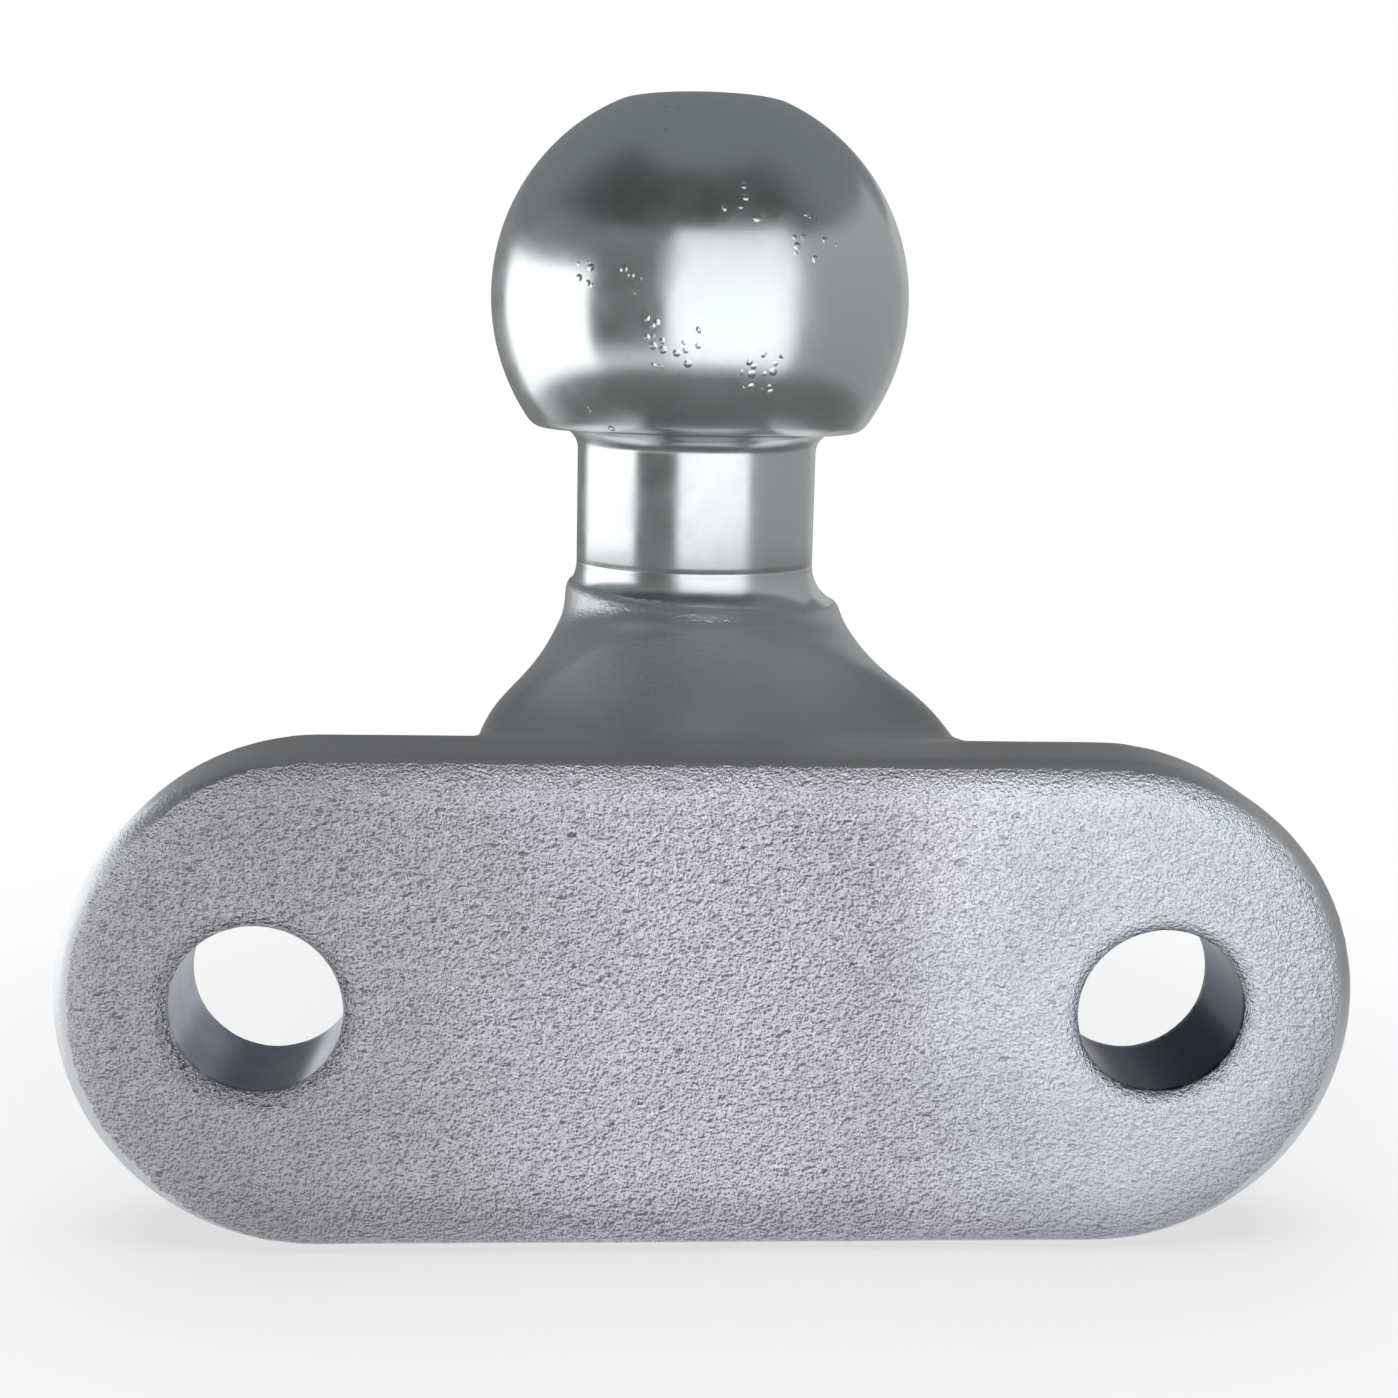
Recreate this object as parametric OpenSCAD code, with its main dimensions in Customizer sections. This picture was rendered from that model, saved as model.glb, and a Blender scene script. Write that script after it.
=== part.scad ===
// Bolt-on flange tow ball: one closed-die forging with a turned ball and neck.
// Millimetres. X runs along the line of the bolt holes and Z points up.
// The mounting face lies in the plane Y = 0, and the origin is on it,
// midway between the two bolt holes.

/* [Flange plate] */
// Distance between the centres of the two bolt holes
hole_spacing = 90; // [84:1:100]
// Diameter of each bolt hole
hole_d = 17; // [13:0.5:18]
// Radius that rounds both rims of each bolt hole
hole_rim_r = 1.8; // [0.6:0.1:2.4]
// Overall width of the plate along the hole line
plate_w = 130; // [126:1:150]
// Overall height of the plate
plate_h = 50.8; // [48:0.1:56]
// Thickness of the plate
plate_t = 15; // [12:0.5:18]
// Radius that rounds the outer edges of the plate
plate_edge_r = 3.2; // [1.5:0.1:4]

/* [Ball] */
// Diameter of the ball
ball_d = 50; // [48:0.5:52]
// Distance from the mounting face to the centre of the ball
ball_reach = 55; // [50:1:65]
// Height of the centre of the ball above the hole line
ball_rise = 70; // [66:1:85]
// Height of the flat top above the centre of the ball
ball_top_h = 23.1; // [21:0.1:23.5]
// Radius that blends the flat top into the ball
ball_top_r = 4; // [1:0.5:6]
// Depth of the flat underside below the centre of the ball
ball_under_h = 15.3; // [15:0.1:17]
// Radius that rounds the edge of the underside
ball_under_r = 2.6; // [0.5:0.1:3]

/* [Neck] */
// Diameter of the turned neck
neck_d = 29; // [26:0.5:30]
// Radius between the neck and the underside of the ball
neck_top_r = 2.4; // [1:0.1:2.8]
// Radius between the neck and the collar
neck_foot_r = 5; // [3:0.5:6]
// Depth below the centre of the ball at which the foot radius starts
neck_foot_drop = 31.4; // [27:0.2:33]

/* [Forged collar] */
// Diameter of the collar
collar_d = 34; // [32.4:0.2:37]
// Depth of the top of the collar below the centre of the ball
collar_top_drop = 34.4; // [33.5:0.1:34.8]
// Depth of the front foot of the collar below the centre of the ball
collar_foot_drop = 38; // [37.5:0.5:42]
// Depth below the centre of the ball at which the back of the arm meets the collar
collar_back_drop = 36.8; // [36.8:0.2:40]
// Largest radius that rounds the top edge of the collar
collar_edge_r = 1.6; // [0.4:0.1:1.8]
// Lean of the top of the collar to the side, in degrees
collar_lean = 3.9; // [0:0.1:4]
// Dip of the top of the collar towards the plate, in degrees
collar_dip = 1; // [0:0.1:4]

/* [Forged arm] */
// Sideways offset of the forged arm and collar from the turned neck
arm_shift = 1.1; // [0:0.1:1.4]
// Width of the top of the arm where it leaves the plate, without its root fillet
arm_root_w = 53; // [46:1:56]
// Width of the underside of the arm where it leaves the plate
arm_foot_w = 46; // [38:1:52]
// Step from the top of the plate down to the top of the arm
arm_top_step = 0.7; // [0.3:0.1:3]
// Step from the bottom of the plate up to the underside of the arm
arm_foot_step = 2.8; // [1:0.1:6]
// Radius of the fillet between the sides of the arm and the plate
arm_root_r = 6; // [2:0.5:8]
// Radius of the upper edges of the arm at the plate
arm_top_r = 4; // [2:0.5:8]
// Radius of the lower edges of the arm at the plate
arm_foot_r = 11; // [4:0.5:16]
// Fullness of the sides along the arm: 1 is a straight taper
arm_fullness = 3.4; // [2:0.1:6]
// Length over which the top of the arm leaves the plate square
heel_run = 14; // [10:1:18]
// Slope at which the back of the arm meets the collar, in degrees
heel_slope = 35; // [20:1:80]
// Length over which the back of the arm turns to that slope
heel_reach = 8; // [4:0.5:9]
// Length over which the underside of the arm leaves the plate square
belly_run = 23; // [16:1:30]
// Height over which the front of the arm comes up into the collar
belly_rise = 33; // [24:1:38]

/* [Hidden] */

// Steps round a circle, round the arm and along the arm
$fn = 96;
ring_steps = 64;
arm_steps = 30;
edge_steps = 4;
// The steps along the arm are closer together at the plate
arm_step_power = 1.3;
// How late along the arm its upper edges grow into the round of the collar
edge_delay = 3;
// How far the arm starts inside the plate, and how far a cutter passes a face
overlap = 5;
cut_over = 1;
// Step from the outside of the collar in to the end of the neck's foot radius
collar_lip = 0.25;
// Share of the height of the collar's wall that its rounded edge may take
edge_share = 0.8;
// Share of its radius by which a rim arc is lowered, so that it meets the face at an angle
rim_sink = 0.1;

ball_r = ball_d / 2;
neck_r = neck_d / 2;
collar_r = collar_d / 2;
plate_end_r = plate_h / 2;
plate_bar_w = plate_w - plate_h;
collar_foot_z = ball_rise - collar_foot_drop;
collar_back_z = ball_rise - collar_back_drop;
collar_top_z = ball_rise - collar_top_drop;
neck_foot_z = ball_rise - neck_foot_drop;
// The turned part ends inside the forging, below the foot radius of the neck
turned_foot_z = neck_foot_z - neck_foot_r - overlap / 2;
arm_start_y = plate_t - overlap;

// Value between a and b at share t
function mix(a, b, t) = a + (b - a) * t;

// Point at share t of a cubic curve with the end points a and d and the handles b and c
function curve(a, b, c, d, t) =
    a * pow(1 - t, 3) + b * 3 * t * pow(1 - t, 2) + c * 3 * t * t * (1 - t) + d * pow(t, 3);

// Outline of the back and top of the arm in [y, z], from the plate to the collar
function heel(t) =
    curve(
        [arm_start_y, plate_h / 2 - arm_top_step],
        [arm_start_y + heel_run, plate_h / 2 - arm_top_step],
        [ball_reach - collar_r - heel_reach * cos(heel_slope),
         collar_back_z - heel_reach * sin(heel_slope)],
        [ball_reach - collar_r, collar_back_z],
        t);

// Outline of the underside and front of the arm in [y, z], from the plate to the collar
function belly(t) =
    curve(
        [arm_start_y, arm_foot_step - plate_h / 2],
        [arm_start_y + belly_run, arm_foot_step - plate_h / 2],
        [ball_reach + collar_r, collar_foot_z - belly_rise],
        [ball_reach + collar_r, collar_foot_z],
        t);

// Depth of the far face of the plate at the height z, with its rounded top edge
function plate_back(z) =
    let (rise = min(max(z - plate_h / 2 + plate_edge_r, 0), plate_edge_r))
    plate_t - plate_edge_r + sqrt(plate_edge_r * plate_edge_r - rise * rise);

// Extra half width of the root fillet, a quarter circle that starts at the plate,
// at the point [y, z]
function root_flare(y, z) =
    let (d = min(max(y - plate_back(z), 0), arm_root_r))
    arm_root_r - sqrt(arm_root_r * arm_root_r - pow(arm_root_r - d, 2));

// Ring of the arm at share t: a rounded trapezium that spans the heel and the belly,
// with tight upper and full lower edges, and becomes a circle at the collar
function arm_ring(t) =
    let (
        top = heel(t),
        foot = belly(t),
        half_h = norm(top - foot) / 2,
        up = (top - foot) / (2 * half_h),
        narrowing = pow(t, arm_fullness),
        top_w = mix(arm_root_w / 2, collar_r, narrowing),
        foot_w = mix(arm_foot_w / 2, collar_r, narrowing),
        top_r = mix(arm_top_r, collar_r, pow(t, edge_delay)),
        foot_r = mix(arm_foot_r, collar_r, t))
    [for (j = [0:ring_steps - 1])
        let (
            a = 360 * (j + 0.5) / ring_steps,
            r = sin(a) > 0 ? top_r : foot_r,
            s = sign(sin(a)) * (half_h - r) + r * sin(a),
            yz = (top + foot) / 2 + up * s,
            w = mix(foot_w, top_w, (1 + s / half_h) / 2) + root_flare(yz[0], yz[1]))
        [sign(cos(a)) * (w - r) + r * cos(a) + arm_shift, yz[0], yz[1]]];

// Ring of the collar's top edge at the angle turn of its rounding. The top leans and dips,
// and its edge is rounded less where it is close above the last ring of the arm.
function collar_ring(turn) =
    let (foot_ring = arm_ring(1))
    [for (j = [0:ring_steps - 1])
        let (
            a = 360 * (j + 0.5) / ring_steps,
            top = collar_top_z - collar_r * (cos(a) * tan(collar_lean) + sin(a) * tan(collar_dip)),
            wall = edge_share * (top - foot_ring[j][2]),
            edge = min(max(wall, edge_share * collar_lip), collar_edge_r),
            r = collar_r - edge * (1 - cos(turn)))
        [r * cos(a) + arm_shift, ball_reach - r * sin(a), top - edge * (1 - sin(turn))]];

// All rings, from inside the plate to the top of the collar
function forged_rings() = concat(
    [for (i = [0:arm_steps]) arm_ring(pow(i / arm_steps, arm_step_power))],
    [for (i = [0:edge_steps]) collar_ring(90 * i / edge_steps)]);

// Solid skin through a list of closed rings with as many points each
module skin(rings) {
    n = len(rings[0]);
    last = len(rings) - 1;
    points = [for (ring = rings) each ring];
    sides = [for (i = [0:last - 1], j = [0:n - 1])
        let (
            k = (j + 1) % n,
            low = i * n,
            high = low + n)
        each [[low + j, low + k, high + k], [low + j, high + k, high + j]]];
    first_cap = [for (j = [n - 1:-1:0]) j];
    last_cap = [for (j = [0:n - 1]) last * n + j];
    polyhedron(points, concat([first_cap], sides, [last_cap]));
}

// Half section of the plate edge: a band of the given length with rounded corners
module edge_section(length) {
    square([length - plate_edge_r, plate_t]);
    translate([0, plate_edge_r]) square([length, plate_t - 2 * plate_edge_r]);
    for (y = [plate_edge_r, plate_t - plate_edge_r])
        translate([length - plate_edge_r, y]) circle(plate_edge_r);
}

// Plate with half-round ends, without its holes
module flange_plate() {
    color("silver") {
        for (side = [-1, 1])
            translate([side * plate_bar_w / 2, 0, 0])
                rotate([-90, 0, 0])
                    rotate_extrude(angle = 180, start = side > 0 ? -90 : 90)
                        edge_section(plate_end_r);
        for (side = [0, 1])
            mirror([0, 0, side])
                rotate([90, 0, 90])
                    translate([0, 0, -plate_bar_w / 2])
                        linear_extrude(plate_bar_w)
                            mirror([1, -1]) edge_section(plate_end_r);
    }
}

// Section of a bolt hole: the bore and a rounded rim at each face of the plate
module hole_section() {
    bore_r = hole_d / 2;
    translate([0, -cut_over]) square([bore_r, plate_t + 2 * cut_over]);
    for (side = [0, 1])
        translate([0, side * plate_t])
            mirror([0, side])
                difference() {
                    translate([0, -cut_over])
                        square([bore_r + hole_rim_r, cut_over + hole_rim_r * (1 - rim_sink)]);
                    translate([bore_r + hole_rim_r, hole_rim_r * (1 - rim_sink)])
                        circle(hole_rim_r);
                }
}

// The two bolt holes, as solids to cut away
module bolt_holes() {
    for (side = [-1, 1])
        translate([side * hole_spacing / 2, 0, 0])
            rotate([-90, 0, 0])
                rotate_extrude() hole_section();
}

// Swan-neck arm and collar, as they leave the die
module forged_arm() {
    color("gray") skin(forged_rings());
}

// Half section of the turned ball, neck and foot radius, seen from the ball's axis
module turned_section() {
    top_x = sqrt(pow(ball_r - ball_top_r, 2) - pow(ball_top_h - ball_top_r, 2));
    under_x = sqrt(pow(ball_r - ball_under_r, 2) - pow(ball_under_h - ball_under_r, 2));
    top_k = ball_r / (ball_r - ball_top_r);
    under_k = ball_r / (ball_r - ball_under_r);
    top_tangent_h = (ball_top_h - ball_top_r) * top_k;
    under_tangent_h = (ball_under_h - ball_under_r) * under_k;
    // Ball between its two tangent heights
    intersection() {
        circle(ball_r);
        translate([0, -under_tangent_h]) square([ball_r, under_tangent_h + top_tangent_h]);
    }
    // Crown with its flat top
    intersection() {
        translate([0, top_tangent_h - cut_over])
            square([top_x * top_k, ball_top_h - top_tangent_h + cut_over]);
        union() {
            square([top_x, ball_top_h]);
            translate([top_x, ball_top_h - ball_top_r]) circle(ball_top_r);
        }
    }
    // Rounded edge of the underside
    intersection() {
        translate([0, -ball_under_h])
            square([under_x * under_k, ball_under_h - under_tangent_h + cut_over]);
        union() {
            translate([0, -ball_under_h]) square([under_x, ball_under_h]);
            translate([under_x, ball_under_r - ball_under_h]) circle(ball_under_r);
        }
    }
    // Fillet between the underside and the neck
    difference() {
        translate([0, -ball_under_h - neck_top_r])
            square([neck_r + neck_top_r, neck_top_r + cut_over]);
        translate([neck_r + neck_top_r, -ball_under_h - neck_top_r]) circle(neck_top_r);
    }
    // Neck
    translate([0, turned_foot_z - ball_rise])
        square([neck_r, ball_rise - turned_foot_z - ball_under_h]);
    // Foot radius, which runs out into the collar
    difference() {
        translate([0, turned_foot_z - ball_rise])
            square([collar_r + arm_shift, neck_foot_z - turned_foot_z]);
        translate([neck_r + neck_foot_r, neck_foot_z - ball_rise]) circle(neck_foot_r);
    }
}

// Ring round the collar, to cut off what the foot radius has outside it
module collar_surround() {
    translate([0, ball_reach, turned_foot_z - cut_over])
        difference() {
            cylinder(r = ball_r, h = neck_foot_z - turned_foot_z);
            translate([arm_shift, 0, -cut_over])
                cylinder(r = collar_r - collar_lip, h = neck_foot_z - turned_foot_z + 2 * cut_over);
        }
}

// Ball and neck, turned on one axis
module turned_ball() {
    color("gainsboro")
        difference() {
            translate([0, ball_reach, ball_rise])
                rotate_extrude() turned_section();
            collar_surround();
        }
}

// The whole forging, machined: one solid
module tow_ball() {
    difference() {
        union() {
            flange_plate();
            forged_arm();
            turned_ball();
        }
        bolt_holes();
    }
}

tow_ball();
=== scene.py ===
"""Looks of a bolt-on flange tow ball: a zinc plated steel forging with a turned ball and neck.

Everything is in metres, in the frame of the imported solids: X along the bolt holes, Z up, and the
mounting face in the plane Y = 0.
"""

import math

import bmesh
import bpy
import numpy as np
from bpy.props import (
    FloatProperty,
    FloatVectorProperty,
    IntProperty,
    PointerProperty,
)
from mathutils import Matrix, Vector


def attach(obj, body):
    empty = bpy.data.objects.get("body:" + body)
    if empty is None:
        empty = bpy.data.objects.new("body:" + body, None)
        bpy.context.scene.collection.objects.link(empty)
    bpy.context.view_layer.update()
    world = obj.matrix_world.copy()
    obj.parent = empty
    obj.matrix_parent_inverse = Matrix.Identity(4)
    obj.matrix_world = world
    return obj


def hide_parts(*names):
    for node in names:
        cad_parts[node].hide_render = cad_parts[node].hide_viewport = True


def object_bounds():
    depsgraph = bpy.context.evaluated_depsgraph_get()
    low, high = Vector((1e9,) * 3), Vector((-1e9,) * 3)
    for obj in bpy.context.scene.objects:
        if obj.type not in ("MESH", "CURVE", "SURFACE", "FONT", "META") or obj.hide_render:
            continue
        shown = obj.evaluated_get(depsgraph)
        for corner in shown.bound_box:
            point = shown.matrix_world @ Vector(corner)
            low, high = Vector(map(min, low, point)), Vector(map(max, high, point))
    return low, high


bl_info = {
    "name": "Flange tow ball",
    "version": (1, 0, 0),
    "blender": (4, 5, 0),
    "location": "View3D > Sidebar > Tow Ball",
    "description": "Builds the forged skin, the turned ball and the studio of a flange tow ball",
    "category": "Object",
}

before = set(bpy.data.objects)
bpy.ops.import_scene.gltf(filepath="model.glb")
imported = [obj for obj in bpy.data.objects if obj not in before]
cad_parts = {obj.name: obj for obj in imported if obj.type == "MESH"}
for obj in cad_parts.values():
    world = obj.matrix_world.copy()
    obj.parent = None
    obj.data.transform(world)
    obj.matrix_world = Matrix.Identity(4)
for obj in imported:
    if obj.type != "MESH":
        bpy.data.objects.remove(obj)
CAD_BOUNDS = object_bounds()
MM = 0.001
MERGE_DISTANCE = 1e-7
SURFACES = ("forged", "turned", "bored")


# Shapes as arrays


def mix(a, b, t):
    """Value between a and b at share t."""
    return a + (b - a) * t


def arc(centre, radius, start, end, steps):
    """Points on a circle from the angle start to the angle end, in degrees."""
    a = np.radians(np.linspace(start, end, steps))
    return np.stack([centre[0] + radius * np.cos(a), centre[1] + radius * np.sin(a)], axis=1)


def line(start, end, steps):
    """Points at even steps from start to end, without the two ends."""
    t = np.linspace(0, 1, steps + 2)[1:-1, None]
    return mix(np.array(start), np.array(end), t)


def cubic(a, b, c, d, t):
    """Cubic curve with the end points a and d and the handles b and c: the four points weighted by
    the Bernstein polynomials of the share t."""
    s = 1 - t
    return a * s**3 + b * 3 * t * s**2 + c * 3 * t**2 * s + d * t**3


def lattice_noise(points, size, seed):
    """Smooth random field from -1 to 1: random values at the corners of a cubic lattice of the given
    size, blended inside each cell with smoothstep weights."""
    table = np.random.default_rng(seed).uniform(-1, 1, (32, 32, 32))
    place = points / size
    cell = np.floor(place).astype(int)
    share = place - cell
    share = share * share * (3 - 2 * share)
    total = np.zeros(len(points))
    for corner in np.ndindex(2, 2, 2):
        weight = np.prod(np.where(np.array(corner) == 1, share, 1 - share), axis=1)
        x, y, z = ((cell + corner) % 32).T
        total += weight * table[x, y, z]
    return total


def grid_faces(rings, points, first=0):
    """Quads between neighbouring rings of a closed grid, numbered from first."""
    i, j = np.meshgrid(np.arange(rings - 1), np.arange(points), indexing="ij")
    k = (j + 1) % points
    quads = np.stack([i * points + j, i * points + k, (i + 1) * points + k, (i + 1) * points + j], axis=-1)
    return quads.reshape(-1, 4) + first


def closed_grid(grid, caps=True):
    """Vertices and faces of a tube of rings. Caps are fans to the middle of the two end rings."""
    rings, points = grid.shape[:2]
    verts, faces = grid.reshape(-1, 3), grid_faces(rings, points).tolist()
    if not caps:
        return verts, faces
    j = np.arange(points)
    k = (j + 1) % points
    last = (rings - 1) * points
    middles = [grid[0].mean(axis=0), grid[-1].mean(axis=0)]
    start = np.stack([k, j, np.full(points, rings * points)], axis=1)
    end = np.stack([last + j, last + k, np.full(points, rings * points + 1)], axis=1)
    return np.concatenate([verts, middles]), faces + start.tolist() + end.tolist()


def new_object(name, shells, slot=0):
    """Mesh object of one or more closed shells, with its doubles merged and its faces outward."""
    verts, faces = [], []
    for shell_verts, shell_faces in shells:
        first = sum(len(v) for v in verts)
        verts.append(shell_verts)
        faces += [[first + i for i in face] for face in shell_faces]
    mesh = bpy.data.meshes.new(name)
    mesh.from_pydata(np.concatenate(verts).tolist(), [], faces)
    form = bmesh.new()
    form.from_mesh(mesh)
    bmesh.ops.remove_doubles(form, verts=form.verts, dist=MERGE_DISTANCE)
    bmesh.ops.recalc_face_normals(form, faces=form.faces)
    form.to_mesh(mesh)
    form.free()
    for _ in SURFACES:
        mesh.materials.append(None)
    mesh.polygons.foreach_set("material_index", np.full(len(mesh.polygons), slot))
    obj = bpy.data.objects.new(name, mesh)
    bpy.context.scene.collection.objects.link(obj)
    return obj


def shell_of(obj):
    """Vertices and faces of an object's mesh, to be joined with other shells."""
    return coordinates(obj.data), [list(face.vertices) for face in obj.data.polygons]


def remove(obj):
    """Deletes an object and its mesh."""
    mesh = obj.data
    bpy.data.objects.remove(obj)
    bpy.data.meshes.remove(mesh)


def apply_modifier(obj, kind, **values):
    """Gives obj the mesh that one modifier of this kind makes of it."""
    modifier = obj.modifiers.new(kind, kind)
    for key, value in values.items():
        setattr(modifier, key, value)
    graph = bpy.context.evaluated_depsgraph_get()
    made = bpy.data.meshes.new_from_object(obj.evaluated_get(graph))
    obj.modifiers.clear()
    old, obj.data = obj.data, made
    bpy.data.meshes.remove(old)
    if not len(made.polygons):
        raise RuntimeError(f"the {kind} modifier left {obj.name} empty")


def join(obj, other, operation):
    """Boolean of obj with another object, whose faces keep their material slots; the other is used up."""
    apply_modifier(
        obj, "BOOLEAN", object=other, operation=operation, solver="MANIFOLD", material_mode="INDEX"
    )
    remove(other)


def coordinates(mesh):
    """Vertex positions of a mesh as an array."""
    flat = np.empty(len(mesh.vertices) * 3, np.float32)
    mesh.vertices.foreach_get("co", flat)
    return flat.reshape(-1, 3).astype(float)


def normals(mesh):
    """Vertex normals of a mesh as an array."""
    flat = np.empty(len(mesh.vertices) * 3, np.float32)
    mesh.vertices.foreach_get("normal", flat)
    return flat.reshape(-1, 3).astype(float)


def move_to(mesh, points):
    """Moves the vertices of a mesh to the rows of an array."""
    mesh.vertices.foreach_set("co", points.astype(np.float32).ravel())
    mesh.update()


def edge_pairs(mesh):
    """The two ends of each edge of a mesh, as two arrays of vertex numbers."""
    pairs = np.empty(len(mesh.edges) * 2, np.int32)
    mesh.edges.foreach_get("vertices", pairs)
    return pairs.reshape(-1, 2).T


def neighbour_mean(pairs, values):
    """Mean of each vertex's neighbours, for rows of values and the ends of the edges."""
    a, b = pairs
    count = np.bincount(np.concatenate([a, b]), minlength=len(values))
    columns = [
        np.bincount(a, values[b, i], len(values)) + np.bincount(b, values[a, i], len(values))
        for i in range(values.shape[1])
    ]
    return np.stack(columns, axis=1) / np.maximum(count, 1)[:, None]


def ramp(value, low, high):
    """Smoothstep of value from 0 at low to 1 at high."""
    t = np.clip((value - low) / (high - low), 0, 1)
    return t * t * (3 - 2 * t)


# The forging, with the sizes of its solid


def edge_profile(size):
    """Half section of the plate from the middle of its mounting face round its edge to the middle of
    its other face, as distance from the spine and depth: two flats, two quarter circles and the rim."""
    r, edge = size.plate_height / 2, size.plate_edge_radius
    depth = size.plate_thickness
    return np.concatenate(
        [
            [[0, 0]],
            line((0, 0), (r - edge, 0), 30),
            arc((r - edge, edge), edge, -90, 0, 9),
            line((r, edge), (r, depth - edge), 10),
            arc((r - edge, depth - edge), edge, 0, 90, 9),
            line((r - edge, depth), (0, depth), 30),
            [[0, depth]],
        ]
    )


def plate_shell(size):
    """Plate with half-round ends: its edge profile carried round a straight spine. A point of the
    surface is a point of the spine plus the profile's distance times the outward direction."""
    half_bar = (size.plate_width - size.plate_height) / 2
    bar = np.linspace(half_bar, -half_bar, 82)[1:-1]
    right, left = np.linspace(-90, 90, 97), np.linspace(90, 270, 97)
    turn = np.radians(np.concatenate([right, np.full(80, 90), left, np.full(80, 270)]))
    spine = np.concatenate([np.full(97, half_bar), bar, np.full(97, -half_bar), -bar])
    profile = edge_profile(size)
    reach, depth = profile[:, :1], profile[:, 1:]
    x, z = spine + reach * np.cos(turn), reach * np.sin(turn)
    return closed_grid(np.stack([x, np.broadcast_to(depth, x.shape), z], axis=-1), caps=False)


def plate_back(size, z):
    """Depth of the far face of the plate at the height z, with its rounded top edge."""
    edge = size.plate_edge_radius
    rise = np.clip(z - size.plate_height / 2 + edge, 0, edge)
    return size.plate_thickness - edge + np.sqrt(edge**2 - rise**2)


def arm_shell(size):
    """Swan-neck arm and collar. Rings are carried from the plate to the collar along two cubic
    curves, the heel above and the belly below. Each ring is a rounded trapezium: its corners are
    quarter circles, its sides lean, and a quarter-circle flare widens it at the plate. The last
    ring is the circle of the collar. The collar's top leans and dips, and its edge is rounded less
    where it is close above that ring."""
    half_plate = size.plate_height / 2
    collar_r = size.collar_diameter / 2
    start = size.plate_thickness - size.arm_overlap
    foot_z = size.ball_rise - size.collar_foot_drop
    back_z = size.ball_rise - size.collar_back_drop
    back, front = size.ball_reach - collar_r, size.ball_reach + collar_r
    top_z, low_z = half_plate - size.arm_top_step, size.arm_foot_step - half_plate
    rise = size.heel_reach * math.sin(size.heel_slope)
    t = np.linspace(0, 1, 150)[:, None] ** 1.3
    heel = cubic(
        np.array([start, top_z]),
        np.array([start + size.heel_run, top_z]),
        np.array([back - size.heel_reach * math.cos(size.heel_slope), back_z - rise]),
        np.array([back, back_z]),
        t,
    )
    belly = cubic(
        np.array([start, low_z]),
        np.array([start + size.belly_run, low_z]),
        np.array([front, foot_z - size.belly_rise]),
        np.array([front, foot_z]),
        t,
    )
    span = heel - belly
    half_h = np.linalg.norm(span, axis=1, keepdims=True) / 2
    up = span / (2 * half_h)
    narrowing = t**size.arm_fullness
    top_w = mix(size.arm_root_width / 2, collar_r, narrowing)
    foot_w = mix(size.arm_foot_width / 2, collar_r, narrowing)
    top_r = mix(size.arm_top_radius, collar_r, t**size.edge_delay)
    foot_r = mix(size.arm_foot_radius, collar_r, t)
    a = 2 * np.pi * (np.arange(200) + 0.5) / 200
    r = np.where(np.sin(a) > 0, top_r, foot_r)
    s = np.sign(np.sin(a)) * (half_h - r) + r * np.sin(a)
    middle = (heel + belly) / 2
    y = middle[:, :1] + up[:, :1] * s
    z = middle[:, 1:] + up[:, 1:] * s
    root = size.arm_root_radius
    near = np.clip(y - plate_back(size, z), 0, root)
    flare = root - np.sqrt(root**2 - (root - near) ** 2)
    w = mix(foot_w, top_w, (1 + s / half_h) / 2) + flare
    x = np.sign(np.cos(a)) * (w - r) + r * np.cos(a) + size.arm_shift
    arm = np.stack([x, y, z], axis=-1)
    lean, dip = math.tan(size.collar_lean), math.tan(size.collar_dip)
    top = size.ball_rise - size.collar_top_drop - collar_r * (np.cos(a) * lean + np.sin(a) * dip)
    edge = np.clip(0.8 * (top - z[-1]), 0.2 * MM, size.collar_edge_radius)
    turn = np.radians(np.linspace(0, 90, 10))[:, None]
    ring_r = collar_r - edge * (1 - np.cos(turn))
    collar = np.stack(
        [
            ring_r * np.cos(a) + size.arm_shift,
            size.ball_reach - ring_r * np.sin(a),
            top - edge * (1 - np.sin(turn)),
        ],
        axis=-1,
    )
    climb = np.linspace(0, 1, 12)[1:-1, None, None]
    return closed_grid(np.concatenate([arm, mix(arm[-1], collar[0], climb), collar]))


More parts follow.
